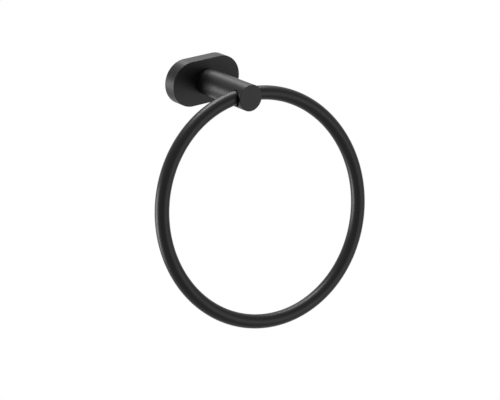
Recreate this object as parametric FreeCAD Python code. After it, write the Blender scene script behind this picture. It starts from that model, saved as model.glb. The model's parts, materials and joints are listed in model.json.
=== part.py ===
import FreeCAD, Part
import math
import os
from FreeCAD import Rotation, Vector

os.makedirs("parts", exist_ok=True)

# Towel ring, in millimetres. The wall is the plane y = 0, the room lies on its -Y side and +Z is up.
# The origin is on the wall, behind the middle of the cover plate. Depths are measured out from the wall.

X_AXIS = Vector(1, 0, 0)
Y_AXIS = Vector(0, 1, 0)
Z_AXIS = Vector(0, 0, 1)
OUT = Vector(0, -1, 0)

# Cover plate: a pill-shaped die casting, hollow and open towards the wall
plate_width = 55.0
plate_height = 31.4
plate_depth = 10.0
plate_side_wall = 2.5
plate_front_wall = 2.6
plate_edge_radius = 0.4
plate_inner_radius = 0.8

# Post: round bar, square to the cover plate
projection = 60.0
post_d = 18.2
post_edge_radius = 0.3

# The post's spigot has two flats, so that the post can't turn in the cover plate
spigot_d = 9.2
spigot_flats = 7.4
spigot_gap = 0.15
spigot_setback = 0.3

# It has turned this far in the play of its flats, and its bore is that much off level
post_roll_deg = 1.9

# Ring: one closed hoop of round tube
ring_outer_d = 163.6
tube_d = 9.6
tube_wall = 1.2

# How the loose ring lies in its bore: its foot swung out from the wall, its plane askew, and the
# middle of its top above the bore's axis
ring_swing_deg = 13.1
ring_skew_deg = -4.3
ring_lift = 0.5

# Cross bore: as wide as the curved, leaning ring needs, and a clearance
bore_clearance = 0.2
bore_front_wall = 1.6
bore_mouth_radius = 0.2

# Screw and lock washer that hold the post, put in from behind
post_screw_d = 6.0
post_screw_length = 16.0
post_screw_head_d = 11.5
post_screw_head_room = 1.3
post_screw_head_radius = 1.2
post_screw_point = 0.8
cross_width = 1.1
cross_length = 6.0
cross_floor = 1.0
washer_rim = 0.15
washer_thickness = 1.2
washer_gap = 0.15
washer_split = 0.8
washer_split_angle = 20.0
blind_depth = 2.0
drill_point_deg = 118.0

# Threads are drawn as plain cylinders this far apart
thread_gap = 0.05

# Wall bracket: folded sheet steel, held by two screws in level slots
bracket_sheet = 1.5
bracket_end_gap = 4.5
bend_radius = 0.5
slot_width = 4.6
slot_length = 8.0
slot_end_margin = 2.5
base_step = 1.2

# Its flanges stand clear of the post screw's head, and flare away from the wall, so that the cover
# plate hooks behind the upper one
flange_width = 20.0
flange_front_gap = 1.9
flange_flare_deg = 15.0
flange_head_gap = 0.9

# Two ribs inside the cover plate hang on the upper flange
hook_spacing = 12.0
hook_width = 3.0
hook_back = 0.8
hook_tip_gap = 0.7
seat_gap = 0.05

# The set screw goes up through a boss in the underside and bears on the lower flange
set_screw_d = 4.0
set_screw_tip_gap = 1.3
set_screw_recess = 0.5
set_screw_point_d = 2.0
set_screw_point_length = 1.0
hex_flats = 2.0
hex_depth = 2.2
boss_width = 8.0
boss_gap = 1.6
boss_back = 0.8

# Worked out from the sizes above
cavity_width = plate_width - 2 * plate_side_wall
cavity_height = plate_height - 2 * plate_side_wall
cavity_depth = plate_depth - plate_front_wall
post_r = post_d / 2
tube_r = tube_d / 2
ring_r = (ring_outer_d - tube_d) / 2
post_turn = Rotation(Y_AXIS, -post_roll_deg)
ring_lie = Rotation(Z_AXIS, ring_skew_deg) * Rotation(X_AXIS, -ring_swing_deg)
mouth_angle = math.asin(post_r / ring_r)
ring_in_bore = [
    ring_lie.multVec(Vector(ring_r * math.sin(a), 0, ring_lift - ring_r * (1 - math.cos(a))))
    for a in (-mouth_angle, 0, mouth_angle)
]
bore_r = tube_r + max(math.hypot(p.y, p.z) for p in ring_in_bore) + bore_clearance
bore_depth = projection - bore_front_wall - bore_r
washer_d = post_screw_head_d + 2 * washer_rim
washer_back = cavity_depth - washer_thickness
post_screw_head_height = washer_back - bracket_sheet - post_screw_head_room
screw_tip_depth = washer_back + post_screw_length
flare = math.tan(math.radians(flange_flare_deg))
flange_sheet = bracket_sheet / math.cos(math.radians(flange_flare_deg))
flange_root = post_screw_head_d / 2 + flange_head_gap + flange_sheet - bracket_sheet * flare
flange_depth = cavity_depth - flange_front_gap
hook_front = flange_depth - hook_tip_gap
bracket_length = cavity_width - 2 * bracket_end_gap
slot_spacing = bracket_length - 2 * slot_end_margin - slot_length
base_height = 2 * (flange_root - base_step)
set_screw_depth = flange_depth - set_screw_tip_gap
set_screw_tip = flange_root + (set_screw_depth + set_screw_point_d / 2) * flare + seat_gap
set_screw_foot = plate_height / 2 - set_screw_recess


def at(x, depth, z):
    """A point, its depth counted out from the wall."""
    return Vector(x, -depth, z)


def prism(outline, direction):
    """The solid that a closed outline sweeps along a straight line."""
    return Part.Face(outline).extrude(direction)


def obround(width, height, back, front, x=0.0):
    """A pill-shaped block with its long axis level, from one depth to another."""
    r = height / 2
    left = x - width / 2 + r
    right = x + width / 2 - r
    outline = Part.Wire(
        [
            Part.makeLine(at(left, back, r), at(right, back, r)),
            Part.Arc(at(right, back, r), at(right + r, back, 0), at(right, back, -r)).toShape(),
            Part.makeLine(at(right, back, -r), at(left, back, -r)),
            Part.Arc(at(left, back, -r), at(left - r, back, 0), at(left, back, r)).toShape(),
        ]
    )
    return prism(outline, OUT * (front - back))


def block(x0, x1, back, front, z0, z1):
    """A square-cornered block, from one depth to another."""
    return Part.makeBox(x1 - x0, front - back, z1 - z0, at(x0, front, z0))


def side_section(points, x0, x1):
    """A section drawn as (depth, height) points, swept sideways from x0 to x1."""
    corners = [at(x0, depth, z) for depth, z in points]
    return prism(Part.makePolygon(corners + corners[:1]), X_AXIS * (x1 - x0))


def edges_at(shape, test):
    """The edges whose every corner passes a test."""
    return [e for e in shape.Edges if all(test(v.Point) for v in e.Vertexes)]


def near(a, b):
    return abs(a - b) < 1e-4


def double_d(d, flats, back, front):
    """A round peg with an upper and a lower flat."""
    peg = Part.makeCylinder(d / 2, front - back, at(0, back, 0), OUT)
    return peg.common(block(-d, d, back, front, -flats / 2, flats / 2))


def flange_face(depth):
    """How far above the middle the outer face of the upper flange is, at a depth."""
    return flange_root + depth * flare


def cover_plate():
    """Hollow pill with a hole for the post's spigot, two hooks and a boss for the set screw."""
    shell = obround(plate_width, plate_height, 0, plate_depth)
    rim = edges_at(shell, lambda p: near(p.y, -plate_depth))
    shell = shell.makeFillet(plate_edge_radius, rim)
    cavity = obround(cavity_width, cavity_height, 0, cavity_depth)
    floor_edges = edges_at(cavity, lambda p: near(p.y, -cavity_depth))
    cavity = cavity.makeFillet(plate_inner_radius, floor_edges)
    shell = shell.cut(cavity)

    top = cavity_height / 2 + plate_side_wall / 2
    under = seat_gap / math.cos(math.radians(flange_flare_deg))
    for x in (-hook_spacing / 2, hook_spacing / 2):
        hook = side_section(
            [
                (hook_back, flange_face(hook_back) + under),
                (hook_front, flange_face(hook_front) + under),
                (hook_front, top),
                (hook_back, top),
            ],
            x - hook_width / 2,
            x + hook_width / 2,
        )
        shell = shell.fuse(hook)

    boss_top = -flange_face(flange_depth) - boss_gap
    boss = block(-boss_width / 2, boss_width / 2, boss_back, plate_depth - plate_front_wall / 2, -top, boss_top)
    shell = shell.fuse(boss)

    screw_hole = Part.makeCylinder(
        set_screw_d / 2 + thread_gap, plate_height / 2, at(0, set_screw_depth, -plate_height / 2 - 1), Z_AXIS
    )
    screw_hole = screw_hole.common(block(-boss_width, boss_width, 0, plate_depth, -plate_height, boss_top + 1))
    spigot_hole = double_d(spigot_d + 2 * spigot_gap, spigot_flats + 2 * spigot_gap, 0, plate_depth + 1)
    return shell.cut(screw_hole).cut(spigot_hole).removeSplitter()


def post():
    """Turned bar with a spigot and a tapped hole at the back, and the ring's bore near its end."""
    bar = Part.makeCylinder(post_r, projection - plate_depth, at(0, plate_depth, 0), OUT)
    end_edge = edges_at(bar, lambda p: near(p.y, -projection))
    bar = bar.makeFillet(post_edge_radius, end_edge)
    bore = Part.makeCylinder(bore_r, 2 * post_d, at(-post_d, bore_depth, 0), X_AXIS)
    bar = bar.cut(bore)
    mouths = edges_at(bar, lambda p: near(math.hypot(p.y + bore_depth, p.z), bore_r) and abs(p.x) > 1)
    bar = bar.makeFillet(bore_mouth_radius, mouths)

    spigot_end = cavity_depth + spigot_setback
    bar = bar.fuse(double_d(spigot_d, spigot_flats, spigot_end, plate_depth + post_edge_radius))
    hole_r = post_screw_d / 2 + thread_gap
    hole_end = screw_tip_depth + blind_depth
    hole = Part.makeCylinder(hole_r, hole_end - spigot_end + 1, at(0, spigot_end - 1, 0), OUT)
    cone_length = hole_r / math.tan(math.radians(drill_point_deg / 2))
    drill_cone = Part.makeCone(hole_r, 0, cone_length, at(0, hole_end, 0), OUT)
    bar = bar.cut(hole.fuse(drill_cone)).removeSplitter()
    bar.Placement = FreeCAD.Placement(Vector(0, 0, 0), post_turn)
    return bar


def ring():
    """Round tube bent into a closed hoop, hung through the bore."""
    centre = Vector(0, 0, ring_lift - ring_r)
    hoop = Part.makeTorus(ring_r, tube_r, centre, Y_AXIS)
    inside = Part.makeTorus(ring_r, tube_r - tube_wall, centre, Y_AXIS)
    hoop = hoop.cut(inside)
    hoop.Placement = FreeCAD.Placement(at(0, bore_depth, 0), post_turn * ring_lie) * hoop.Placement
    return hoop


def post_screw():
    """Pan-head screw with a cross recess, its head towards the wall."""
    head = Part.makeCylinder(
        post_screw_head_d / 2, post_screw_head_height, at(0, washer_back - post_screw_head_height, 0), OUT
    )
    crown = edges_at(head, lambda p: near(p.y, post_screw_head_height - washer_back))
    head = head.makeFillet(post_screw_head_radius, crown)
    shank = Part.makeCylinder(post_screw_d / 2, post_screw_length, at(0, washer_back, 0), OUT)
    point = edges_at(shank, lambda p: near(p.y, -screw_tip_depth))
    screw = head.fuse(shank.makeChamfer(post_screw_point, point))
    back = washer_back - post_screw_head_height
    floor = washer_back - cross_floor
    level = block(-cross_length / 2, cross_length / 2, back, floor, -cross_width / 2, cross_width / 2)
    upright = level.copy()
    upright.rotate(Vector(0, 0, 0), Y_AXIS, 90)
    return screw.cut(level.fuse(upright)).removeSplitter()


def post_washer():
    """Split lock washer, pressed flat between the screw's head and the cover plate."""
    disc = Part.makeCylinder(washer_d / 2, washer_thickness, at(0, washer_back, 0), OUT)
    hole = Part.makeCylinder(post_screw_d / 2 + washer_gap, washer_thickness, at(0, washer_back, 0), OUT)
    middle = (washer_back + cavity_depth) / 2
    slit = block(0, washer_d, middle - washer_d, middle + washer_d, -washer_split / 2, washer_split / 2)
    slit.rotate(at(0, middle, 0), X_AXIS, washer_split_angle)
    return disc.cut(hole).cut(slit)


def wall_bracket():
    """Sheet-steel base with two slots, and two flared flanges folded up from its long sides."""
    sheet = bracket_sheet
    upper = [
        (0, flange_face(0)),
        (flange_depth, flange_face(flange_depth)),
        (flange_depth, flange_face(flange_depth) - flange_sheet),
        (sheet, flange_face(sheet) - flange_sheet),
    ]
    lower = [(depth, -z) for depth, z in reversed(upper)]
    channel = side_section(upper + lower, -flange_width / 2, flange_width / 2)
    outer_bends = edges_at(channel, lambda p: near(p.y, 0))
    outer_bends = [e for e in outer_bends if near(e.Length, flange_width)]
    channel = channel.makeFillet(bend_radius + sheet, outer_bends)
    corner = flange_face(sheet) - flange_sheet
    inner_bends = edges_at(channel, lambda p: near(p.y, -sheet) and near(abs(p.z), corner))
    inner_bends = [e for e in inner_bends if near(e.Length, flange_width)]
    channel = channel.makeFillet(bend_radius, inner_bends)
    bracket = channel.fuse(obround(bracket_length, base_height, 0, sheet))
    for x in (-slot_spacing / 2, slot_spacing / 2):
        bracket = bracket.cut(obround(slot_length, slot_width, -1, sheet + 1, x))
    return bracket.removeSplitter()


def cover_set_screw():
    """Headless screw with a blunt point at the top and a hexagon socket at the foot."""
    shank_length = set_screw_foot - set_screw_tip - set_screw_point_length
    r = set_screw_d / 2
    shank = Part.makeCylinder(r, shank_length, at(0, set_screw_depth, -set_screw_foot), Z_AXIS)
    point = Part.makeCone(
        r,
        set_screw_point_d / 2,
        set_screw_point_length,
        at(0, set_screw_depth, -set_screw_tip - set_screw_point_length),
        Z_AXIS,
    )
    corner = hex_flats / 2 / math.cos(math.radians(30))
    turns = [math.radians(60 * k) for k in range(7)]
    hexagon = Part.makePolygon(
        [
            at(corner * math.cos(a), set_screw_depth + corner * math.sin(a), -set_screw_foot)
            for a in turns
        ]
    )
    return shank.fuse(point).cut(prism(hexagon, Z_AXIS * hex_depth)).removeSplitter()


pieces = {
    "cover_plate": cover_plate(),
    "post": post(),
    "ring": ring(),
    "post_screw": post_screw(),
    "post_washer": post_washer(),
    "wall_bracket": wall_bracket(),
    "cover_set_screw": cover_set_screw(),
}

for name, shape in pieces.items():
    shape.exportStep(f"parts/{name}.step")
    print(name, len(shape.Solids), "solid", round(shape.Volume, 1), "mm3", "valid" if shape.isValid() else "INVALID")
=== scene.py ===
import json
from math import cos, pi, radians, tan

import bmesh
import bpy
from mathutils import Matrix, Vector


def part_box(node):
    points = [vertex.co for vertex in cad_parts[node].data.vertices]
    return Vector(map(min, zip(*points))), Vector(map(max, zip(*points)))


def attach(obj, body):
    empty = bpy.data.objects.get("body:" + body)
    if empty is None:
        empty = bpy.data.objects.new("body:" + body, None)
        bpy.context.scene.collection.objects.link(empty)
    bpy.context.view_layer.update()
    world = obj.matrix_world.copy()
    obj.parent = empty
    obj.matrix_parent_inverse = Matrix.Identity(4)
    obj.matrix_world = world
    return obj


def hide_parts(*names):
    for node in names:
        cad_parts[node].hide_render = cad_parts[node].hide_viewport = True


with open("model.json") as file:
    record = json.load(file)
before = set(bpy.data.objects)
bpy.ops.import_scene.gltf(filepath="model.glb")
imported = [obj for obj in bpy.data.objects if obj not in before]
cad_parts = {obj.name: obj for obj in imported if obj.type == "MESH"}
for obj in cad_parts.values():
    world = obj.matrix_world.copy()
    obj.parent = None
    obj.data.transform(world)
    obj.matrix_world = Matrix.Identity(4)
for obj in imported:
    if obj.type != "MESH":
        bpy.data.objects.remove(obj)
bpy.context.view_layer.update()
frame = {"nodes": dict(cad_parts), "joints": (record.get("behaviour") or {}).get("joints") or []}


# Wall bracket
# A small steel pressing, cut and folded from 1.5 mm galvanised sheet, and screwed to the wall first.
# Its base has two level slots, and its two flared flanges carry the cover plate.
mm = 0.001
nodes = frame["nodes"]


def linear(hex_colour):
    """An sRGB colour, written #rrggbb, as the linear colour that a shader takes."""
    parts = [int(hex_colour[i:i + 2], 16) / 255 for i in (1, 3, 5)]
    parts = [p / 12.92 if p <= 0.04045 else ((p + 0.055) / 1.055) ** 2.4 for p in parts]
    return (*parts, 1.0)


def new_material(name):
    """An empty material, ready for its nodes."""
    material = bpy.data.materials.new(name)
    material.use_nodes = True
    material.node_tree.nodes.clear()
    return material


def add_node(material, kind, settings=(), links=()):
    """Adds a node. Settings are its sockets or properties, links are (socket, other node, its output)."""
    tree = material.node_tree
    made = tree.nodes.new(kind)
    for name, value in dict(settings).items():
        if isinstance(name, int) or name in made.inputs:
            made.inputs[name].default_value = value
        else:
            setattr(made, name, value)
    for name, source, output in links:
        tree.links.new(source.outputs[output], made.inputs[name])
    return made


def finish_with(obj, material):
    """Every face of a piece takes the same finish."""
    obj.data.materials.clear()
    obj.data.materials.append(material)


# Hot-dip galvanised sheet: the zinc freezes in flat crystals, a few millimetres across, that each
# turn the light a little differently, under a dull grey bloom. The sheet's fine grain lies under them.
spangle_size = 3.0 * mm
rolling_size = 0.4 * mm
rolling_height = 0.01 * mm
rolling_strength = 0.5
zinc_dark = "#8f9294"
zinc_light = "#b3b6b8"
zinc_smoothest = 0.6
zinc_roughest = 0.75
galvanised = new_material("hot_dip_galvanised_steel_sheet")
place = add_node(galvanised, "ShaderNodeTexCoord")
spangle = add_node(
    galvanised,
    "ShaderNodeTexVoronoi",
    {"Scale": 1 / spangle_size, "Randomness": 1.0},
    [("Vector", place, "Object")],
)
crystal = add_node(galvanised, "ShaderNodeSeparateColor", (), [("Color", spangle, "Color")])
crystal_colour = add_node(galvanised, "ShaderNodeValToRGB", (), [("Fac", crystal, "Red")])
crystal_colour.color_ramp.elements[0].color = linear(zinc_dark)
crystal_colour.color_ramp.elements[1].color = linear(zinc_light)
crystal_gloss = add_node(
    galvanised,
    "ShaderNodeMapRange",
    {"To Min": zinc_smoothest, "To Max": zinc_roughest},
    [("Value", crystal, "Green")],
)
rolling = add_node(
    galvanised,
    "ShaderNodeTexNoise",
    {"Scale": 1 / rolling_size, "Detail": 3.0},
    [("Vector", place, "Object")],
)
sheet_bump = add_node(
    galvanised,
    "ShaderNodeBump",
    {"Strength": rolling_strength, "Distance": rolling_height},
    [("Height", rolling, "Fac")],
)
zinc_surface = add_node(
    galvanised,
    "ShaderNodeBsdfPrincipled",
    {"Metallic": 1.0},
    [
        ("Base Color", crystal_colour, "Color"),
        ("Roughness", crystal_gloss, "Result"),
        ("Normal", sheet_bump, "Normal"),
    ],
)
add_node(galvanised, "ShaderNodeOutputMaterial", (), [("Surface", zinc_surface, "BSDF")])
finish_with(nodes["wall_bracket"], galvanised)


# Cover plate
# A pill-shaped zinc die casting, hollow and open to the wall, which hides the bracket. Two ribs inside
# it hang on the bracket's upper flange, and its front edge is barely broken under the coat.

# Satin black stoved coat on metal, sprayed and baked: a nearly black film with a soft, broad shine.
# It has the very low ripple of a sprayed coat, and patches that are slightly duller or glossier. Its
# grit is too fine to show, so the roughness stands for it.
coat_black = "#0a0a0a"
coat_ior = 1.5
coat_roughness = 0.4
coat_shine = 0.19
ripple_size = 1.6 * mm
ripple_height = 0.0005 * mm
ripple_strength = 0.5
gloss_patch_size = 9.0 * mm
gloss_variation = 0.03
satin_black = new_material("satin_black_stoved_coat")
place = add_node(satin_black, "ShaderNodeTexCoord")
ripple = add_node(
    satin_black,
    "ShaderNodeTexNoise",
    {"Scale": 1 / ripple_size, "Detail": 1.0},
    [("Vector", place, "Object")],
)
ripple_bump = add_node(
    satin_black,
    "ShaderNodeBump",
    {"Strength": ripple_strength, "Distance": ripple_height},
    [("Height", ripple, "Fac")],
)
gloss_patch = add_node(
    satin_black,
    "ShaderNodeTexNoise",
    {"Scale": 1 / gloss_patch_size, "Detail": 2.0},
    [("Vector", place, "Object")],
)
coat_gloss = add_node(
    satin_black,
    "ShaderNodeMapRange",
    {"To Min": coat_roughness - gloss_variation, "To Max": coat_roughness + gloss_variation},
    [("Value", gloss_patch, "Fac")],
)
coat = add_node(
    satin_black,
    "ShaderNodeBsdfPrincipled",
    {"Base Color": linear(coat_black), "IOR": coat_ior, "Specular IOR Level": coat_shine},
    [("Roughness", coat_gloss, "Result"), ("Normal", ripple_bump, "Normal")],
)
add_node(satin_black, "ShaderNodeOutputMaterial", (), [("Surface", coat, "BSDF")])
finish_with(nodes["cover_plate"], satin_black)


# Post
# A straight round bar, turned, cross-drilled for the ring and coated with the same satin black. Its
# two-flat spigot sits in the cover plate, and the bore's mouths are lightly rounded.
finish_with(nodes["post"], satin_black)


# Post screw and lock washer
# An M6 pan-head machine screw in zinc-plated steel, with a cross recess, driven from behind through
# the cover plate into the post. The split washer under its head is pressed flat.

# Bright zinc plate on steel: a clean, slightly bluish silver, brighter and smoother than the sheet.
plating_size = 0.25 * mm
plating_colour = "#c3c6ca"
plating_smoothest = 0.24
plating_roughest = 0.34
bright_zinc = new_material("bright_zinc_plated_steel")
place = add_node(bright_zinc, "ShaderNodeTexCoord")
plating = add_node(
    bright_zinc,
    "ShaderNodeTexNoise",
    {"Scale": 1 / plating_size, "Detail": 2.0},
    [("Vector", place, "Object")],
)
plating_gloss = add_node(
    bright_zinc,
    "ShaderNodeMapRange",
    {"To Min": plating_smoothest, "To Max": plating_roughest},
    [("Value", plating, "Fac")],
)
plated_surface = add_node(
    bright_zinc,
    "ShaderNodeBsdfPrincipled",
    {"Base Color": linear(plating_colour), "Metallic": 1.0},
    [("Roughness", plating_gloss, "Result")],
)
add_node(bright_zinc, "ShaderNodeOutputMaterial", (), [("Surface", plated_surface, "BSDF")])
finish_with(nodes["post_washer"], bright_zinc)

# A metric thread's depth and the flat at its root are shares of its pitch. It is spun with turns to
# spare, its turns are merged, and both ends are cut square.
thread_depth_share = 0.61
thread_root_share = 0.25
thread_flank_angle = radians(30)
thread_steps = 40
merge_share = 0.01
spare_turns = 2
cut_tolerance = 1e-7


def threaded_rod(major_r, pitch, start, end, steps=thread_steps):
    """A closed 60 degree thread about the Z axis, from one height to another, as a bmesh."""
    depth = thread_depth_share * pitch
    minor_r = major_r - depth
    flank = depth * tan(thread_flank_angle)
    root_flat = thread_root_share * pitch
    crest_flat = pitch - root_flat - 2 * flank
    heights = (0, root_flat, root_flat + flank, root_flat + flank + crest_flat, pitch)
    radii = (minor_r, minor_r, major_r, major_r, minor_r)
    bm = bmesh.new()
    corners = [bm.verts.new((r, 0, start - pitch + z)) for r, z in zip(radii, heights)]
    profile = [bm.edges.new(pair) for pair in zip(corners, corners[1:])]
    turns = int((end - start) / pitch) + spare_turns
    bmesh.ops.spin(
        bm,
        geom=corners + profile,
        cent=(0, 0, 0),
        axis=(0, 0, 1),
        dvec=(0, 0, pitch / steps),
        angle=2 * pi * turns,
        steps=steps * turns,
    )
    bmesh.ops.remove_doubles(bm, verts=bm.verts, dist=merge_share * pitch)
    for height, side in ((start, -1), (end, 1)):
        cut = bmesh.ops.bisect_plane(
            bm,
            geom=bm.verts[:] + bm.edges[:] + bm.faces[:],
            dist=cut_tolerance,
            plane_co=(0, 0, height),
            plane_no=(0, 0, side),
            clear_outer=True,
        )
        rim = [e for e in cut["geom_cut"] if isinstance(e, bmesh.types.BMEdge)]
        bmesh.ops.edgeloop_fill(bm, edges=rim)
    bmesh.ops.recalc_face_normals(bm, faces=bm.faces)
    return bm


def narrow(bm, height, reach, radius, slope):
    """Turns a screw's end down to a radius at a height, growing with the distance from it."""
    for vert in bm.verts:
        away = abs(vert.co.z - height)
        if away < reach:
            out = vert.co.xy.length
            limit = radius + away * slope
            if out > limit:
                vert.co.x *= limit / out
                vert.co.y *= limit / out


def object_from(bm, name):
    """Turns a bmesh into an object of the scene."""
    mesh = bpy.data.meshes.new(name)
    bm.to_mesh(mesh)
    bm.free()
    obj = bpy.data.objects.new(name, mesh)
    bpy.context.scene.collection.objects.link(obj)
    return obj


def cut_out(obj, bm):
    """Cuts a closed bmesh out of a piece for good."""
    cutter = object_from(bm, "cutter")
    modifier = obj.modifiers.new("cut", "BOOLEAN")
    modifier.operation = "DIFFERENCE"
    modifier.solver = "EXACT"
    modifier.object = cutter
    bpy.context.view_layer.update()
    done = obj.evaluated_get(bpy.context.evaluated_depsgraph_get())
    mesh = bpy.data.meshes.new_from_object(done)
    obj.modifiers.clear()
    obj.data = mesh
    bpy.data.objects.remove(cutter)


crisp_angle = radians(35)


def smooth_but_edges(obj, limit=crisp_angle):
    """Smooth shading that stays crisp at edges sharper than a limit."""
    obj.data.shade_smooth()
    bm = bmesh.new()
    bm.from_mesh(obj.data)
    for edge in bm.edges:
        edge.smooth = len(edge.link_faces) == 2 and edge.calc_face_angle(0) < limit
    bm.to_mesh(obj.data)
    bm.free()


screw_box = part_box("post_screw")
head_back = -screw_box[1][1]
screw_tip = -screw_box[0][1]
head_r = (screw_box[1][0] - screw_box[0][0]) / 2
head_height = 3.4 * mm
head_sides = 72
crown_radius = 1.2 * mm
crown_steps = 8
rim_band = 0.1 * mm
screw_r = 3.0 * mm
screw_pitch = 1.0 * mm
screw_chamfer = 0.8 * mm
screw_chamfer_reach = 1.2 * mm
chamfer_slope = 1.0
thread_in_head = 0.3 * mm
recess_core = 1.9 * mm
recess_arm = 2.1 * mm
recess_depth = 2.3 * mm
recess_taper = 0.3
along_post = Matrix.Rotation(radians(90), 3, "X")

head_bm = bmesh.new()
bmesh.ops.create_cone(
    head_bm,
    cap_ends=True,
    segments=head_sides,
    radius1=head_r,
    radius2=head_r,
    depth=head_height,
    matrix=Matrix.Translation((0, 0, head_back + head_height / 2)),
)
crown = [e for e in head_bm.edges if all(v.co.z < head_back + rim_band for v in e.verts)]
bmesh.ops.bevel(
    head_bm,
    geom=crown,
    offset=crown_radius,
    offset_type="OFFSET",
    segments=crown_steps,
    profile=0.5,
    affect="EDGES",
    material=-1,
    clamp_overlap=True,
)
post_screw = object_from(head_bm, "post_screw_m6")

recess_bm = bmesh.new()
bmesh.ops.create_cube(recess_bm, size=1.0)
bmesh.ops.scale(recess_bm, vec=(recess_core / 2, recess_core / 2, 2 * recess_depth), verts=recess_bm.verts)
sides = [f for f in recess_bm.faces if abs(f.normal.z) < 0.5]
outward = [f.normal.copy() for f in sides]
arms = bmesh.ops.extrude_discrete_faces(recess_bm, faces=sides)["faces"]
for face, way in zip(arms, outward):
    bmesh.ops.translate(recess_bm, vec=way * recess_arm, verts=face.verts)
deep = [v for v in recess_bm.verts if v.co.z > 0]
bmesh.ops.scale(recess_bm, vec=(recess_taper, recess_taper, 1), verts=deep)
bmesh.ops.translate(recess_bm, vec=(0, 0, head_back), verts=recess_bm.verts)
bmesh.ops.recalc_face_normals(recess_bm, faces=recess_bm.faces)
cut_out(post_screw, recess_bm)

thread_bm = threaded_rod(screw_r, screw_pitch, head_back + head_height - thread_in_head, screw_tip)
narrow(thread_bm, screw_tip, screw_chamfer_reach, screw_r - screw_chamfer, chamfer_slope)
thread_bm.from_mesh(post_screw.data)
bmesh.ops.rotate(thread_bm, cent=(0, 0, 0), matrix=along_post, verts=thread_bm.verts)
thread_bm.to_mesh(post_screw.data)
thread_bm.free()
smooth_but_edges(post_screw)
finish_with(post_screw, bright_zinc)
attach(post_screw, "mount")
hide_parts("post_screw")


# Ring
# One length of round tube bent into a hoop, welded shut and ground smooth, and coated satin black. It
# runs through the post's bore, where the joint is out of sight, and swings there.
hoop_d = 163.6 * mm
tube_d = 9.6 * mm
hoop_r = (hoop_d - tube_d) / 2
hoop_steps = 432
tube_steps = 80

# The loose hoop's top lies a little above the bore's axis, its plane askew and its foot off the wall.
bore_roll = radians(1.9)
hoop_skew = radians(-4.3)
hoop_swing = radians(13.1)
hoop_lift = 0.5 * mm
bore_middle = Vector(frame["joints"][0]["pos_m"])
hoop_place = (
    Matrix.Translation(bore_middle)
    @ Matrix.Rotation(-bore_roll, 4, "Y")
    @ Matrix.Rotation(hoop_skew, 4, "Z")
    @ Matrix.Rotation(-hoop_swing, 4, "X")
    @ Matrix.Translation((0, 0, hoop_lift - hoop_r))
)

hoop_bm = bmesh.new()
section = bmesh.ops.create_circle(
    hoop_bm,
    cap_ends=False,
    segments=tube_steps,
    radius=tube_d / 2,
    matrix=Matrix.Translation((hoop_r, 0, 0)),
)
bmesh.ops.spin(
    hoop_bm,
    geom=section["verts"] + hoop_bm.edges[:],
    cent=(0, 0, 0),
    axis=(0, 1, 0),
    angle=2 * pi,
    steps=hoop_steps,
    use_merge=True,
)
bmesh.ops.recalc_face_normals(hoop_bm, faces=hoop_bm.faces)
bmesh.ops.transform(hoop_bm, matrix=hoop_place, verts=hoop_bm.verts)
ring = object_from(hoop_bm, "ring_of_round_tube")
ring.data.shade_smooth()
finish_with(ring, satin_black)
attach(ring, "ring")
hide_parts("ring")


# Cover set screw
# An M4 hexagon-socket grub screw in black-oxide steel, put in last from below. Its blunt point bears
# on the bracket's lower flange and locks the cover plate down.

# Black oxide on steel: a thin conversion layer, a brownish black that keeps the metal's own sheen.
oxide_size = 0.3 * mm
oxide_colour = "#3a3836"
oxide_smoothest = 0.42
oxide_roughest = 0.55
black_oxide = new_material("black_oxide_steel")
place = add_node(black_oxide, "ShaderNodeTexCoord")
oxide = add_node(
    black_oxide,
    "ShaderNodeTexNoise",
    {"Scale": 1 / oxide_size, "Detail": 2.0},
    [("Vector", place, "Object")],
)
oxide_gloss = add_node(
    black_oxide,
    "ShaderNodeMapRange",
    {"To Min": oxide_smoothest, "To Max": oxide_roughest},
    [("Value", oxide, "Fac")],
)
oxide_surface = add_node(
    black_oxide,
    "ShaderNodeBsdfPrincipled",
    {"Base Color": linear(oxide_colour), "Metallic": 1.0},
    [("Roughness", oxide_gloss, "Result")],
)
add_node(black_oxide, "ShaderNodeOutputMaterial", (), [("Surface", oxide_surface, "BSDF")])

grub_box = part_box("cover_set_screw")
grub_middle_y = (grub_box[0][1] + grub_box[1][1]) / 2
grub_foot = grub_box[0][2]
grub_tip = grub_box[1][2]
grub_r = 2.0 * mm
grub_pitch = 0.7 * mm
point_r = 1.0 * mm
point_length = 1.0 * mm
grub_chamfer = 0.4 * mm
socket_flats = 2.0 * mm
socket_corner_r = socket_flats / 2 / cos(radians(30))
socket_depth = 2.2 * mm

grub_bm = threaded_rod(grub_r, grub_pitch, grub_foot, grub_tip)
narrow(grub_bm, grub_tip, point_length, point_r, (grub_r - point_r) / point_length)
narrow(grub_bm, grub_foot, grub_chamfer, grub_r - grub_chamfer, chamfer_slope)
cover_set_screw = object_from(grub_bm, "cover_set_screw_m4")
socket_bm = bmesh.new()
bmesh.ops.create_cone(
    socket_bm,
    cap_ends=True,
    segments=6,
    radius1=socket_corner_r,
    radius2=socket_corner_r,
    depth=2 * socket_depth,
    matrix=Matrix.Translation((0, 0, grub_foot)),
)
cut_out(cover_set_screw, socket_bm)
grub_done = bmesh.new()
grub_done.from_mesh(cover_set_screw.data)
bmesh.ops.translate(grub_done, vec=(0, grub_middle_y, 0), verts=grub_done.verts)
grub_done.to_mesh(cover_set_screw.data)
grub_done.free()
smooth_but_edges(cover_set_screw)
finish_with(cover_set_screw, black_oxide)
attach(cover_set_screw, "mount")
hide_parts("cover_set_screw")


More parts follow.
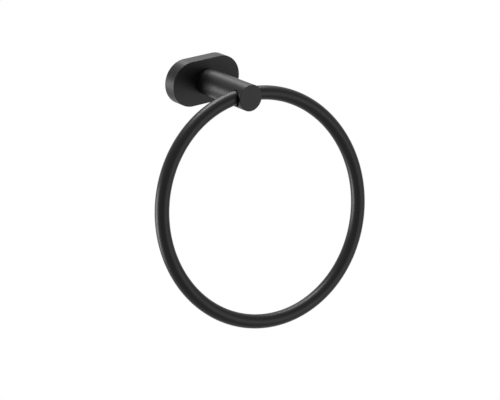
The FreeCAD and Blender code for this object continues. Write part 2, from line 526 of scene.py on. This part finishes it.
# Floor
# Plain white studio paper, well below the hanging ring. It shows white to the camera and in the
# ring's shine, and still takes the ring's shadow.
floor_drop = 1500 * mm
floor_right = 1500 * mm
floor_out = 1850 * mm
floor_half = 3200 * mm
paper_colour = "#e6e6e6"
paper_glow = 1.1
paper_glow_share = 0.9
floor_bm = bmesh.new()
floor_middle = Vector((floor_right, -floor_out, -floor_drop))
bmesh.ops.create_grid(
    floor_bm, x_segments=1, y_segments=1, size=floor_half, matrix=Matrix.Translation(floor_middle)
)
floor = object_from(floor_bm, "floor")
white_paper = new_material("white_studio_paper")
light_path = add_node(white_paper, "ShaderNodeLightPath")
seen = add_node(
    white_paper,
    "ShaderNodeMath",
    {"operation": "MAXIMUM"},
    [(0, light_path, "Is Camera Ray"), (1, light_path, "Is Glossy Ray")],
)
seen_through = add_node(
    white_paper,
    "ShaderNodeMath",
    {"operation": "MAXIMUM"},
    [(0, seen, "Value"), (1, light_path, "Is Transmission Ray")],
)
paper = add_node(white_paper, "ShaderNodeBsdfDiffuse", {"Color": linear(paper_colour)})
paper_share = add_node(
    white_paper,
    "ShaderNodeMath",
    {"operation": "MULTIPLY", 1: paper_glow_share},
    [(0, seen_through, "Value")],
)
paper_white = add_node(white_paper, "ShaderNodeEmission", {"Strength": paper_glow})
paper_mix = add_node(
    white_paper,
    "ShaderNodeMixShader",
    (),
    [("Fac", paper_share, "Value"), (1, paper, "BSDF"), (2, paper_white, "Emission")],
)
add_node(white_paper, "ShaderNodeOutputMaterial", (), [("Surface", paper_mix, "Shader")])
finish_with(floor, white_paper)


# Lights
# Six soft round lamps, the strongest from the left and from above, and a low even light from the room.
# The room shows white to the camera, in the metal's shine and through anything clear.
room_colour = (1, 1, 1, 1)
room_light = 0.3
room_white = 1.0
world = bpy.data.worlds.new("studio")
world.use_nodes = True
bpy.context.scene.world = world
background = world.node_tree.nodes["Background"]
room_path = add_node(world, "ShaderNodeLightPath")
room_seen = add_node(
    world,
    "ShaderNodeMath",
    {"operation": "MAXIMUM"},
    [(0, room_path, "Is Camera Ray"), (1, room_path, "Is Glossy Ray")],
)
room_seen_through = add_node(
    world,
    "ShaderNodeMath",
    {"operation": "MAXIMUM"},
    [(0, room_seen, "Value"), (1, room_path, "Is Transmission Ray")],
)
room_strength = add_node(
    world,
    "ShaderNodeMapRange",
    {"To Min": room_light, "To Max": room_white},
    [("Value", room_seen_through, "Value")],
)
background.inputs["Color"].default_value = room_colour
world.node_tree.links.new(room_strength.outputs["Result"], background.inputs["Strength"])

lit_point = Vector((0, -60, -70)) * mm
lamp_distance = 1.4
for name, way, width, power in (
    ("overhead_box", (0.03, 0.39, 0.92), 0.5, 20.0),
    ("overhead_right_box", (0.45, 0.3, 0.84), 0.5, 11.5),
    ("left_box", (-0.82, 0.57, -0.06), 0.8, 22.0),
    ("left_low_box", (-0.78, 0.48, -0.4), 0.6, 8.0),
    ("back_box", (0.31, 0.67, 0.67), 0.5, 3.5),
    ("front_right_box", (0.42, -0.87, -0.08), 1.2, 8.0),
):
    lamp_data = bpy.data.lights.new(name, "AREA")
    lamp_data.shape = "DISK"
    lamp_data.size = width
    lamp_data.energy = power
    lamp = bpy.data.objects.new(name, lamp_data)
    bpy.context.scene.collection.objects.link(lamp)
    way = Vector(way).normalized()
    lamp.location = lit_point + way * lamp_distance
    lamp.rotation_euler = way.to_track_quat("Z", "Y").to_euler()


# Camera
# It stands to the left of the ring and looks down on it from about 1.2 m, through a long lens.
camera_azimuth = -36.67
camera_elevation = 20.945
camera_roll = -1.0
camera_distance = 1199.9 * mm
camera_right = 35.43 * mm
camera_up = -83.7 * mm
focal_pixels = 1751.4
picture_width = 500
sensor_width = 36.0

camera_data = bpy.data.cameras.new("camera")
camera_data.sensor_width = sensor_width
camera_data.lens = focal_pixels / picture_width * sensor_width
camera = bpy.data.objects.new("camera", camera_data)
bpy.context.scene.collection.objects.link(camera)
turn = (
    Matrix.Rotation(radians(camera_azimuth), 4, "Z")
    @ Matrix.Rotation(radians(90 - camera_elevation), 4, "X")
    @ Matrix.Rotation(radians(camera_roll), 4, "Z")
)
camera.matrix_world = turn @ Matrix.Translation((camera_right, camera_up, camera_distance))
bpy.context.scene.camera = camera
bpy.context.scene.view_settings.view_transform = "Standard"
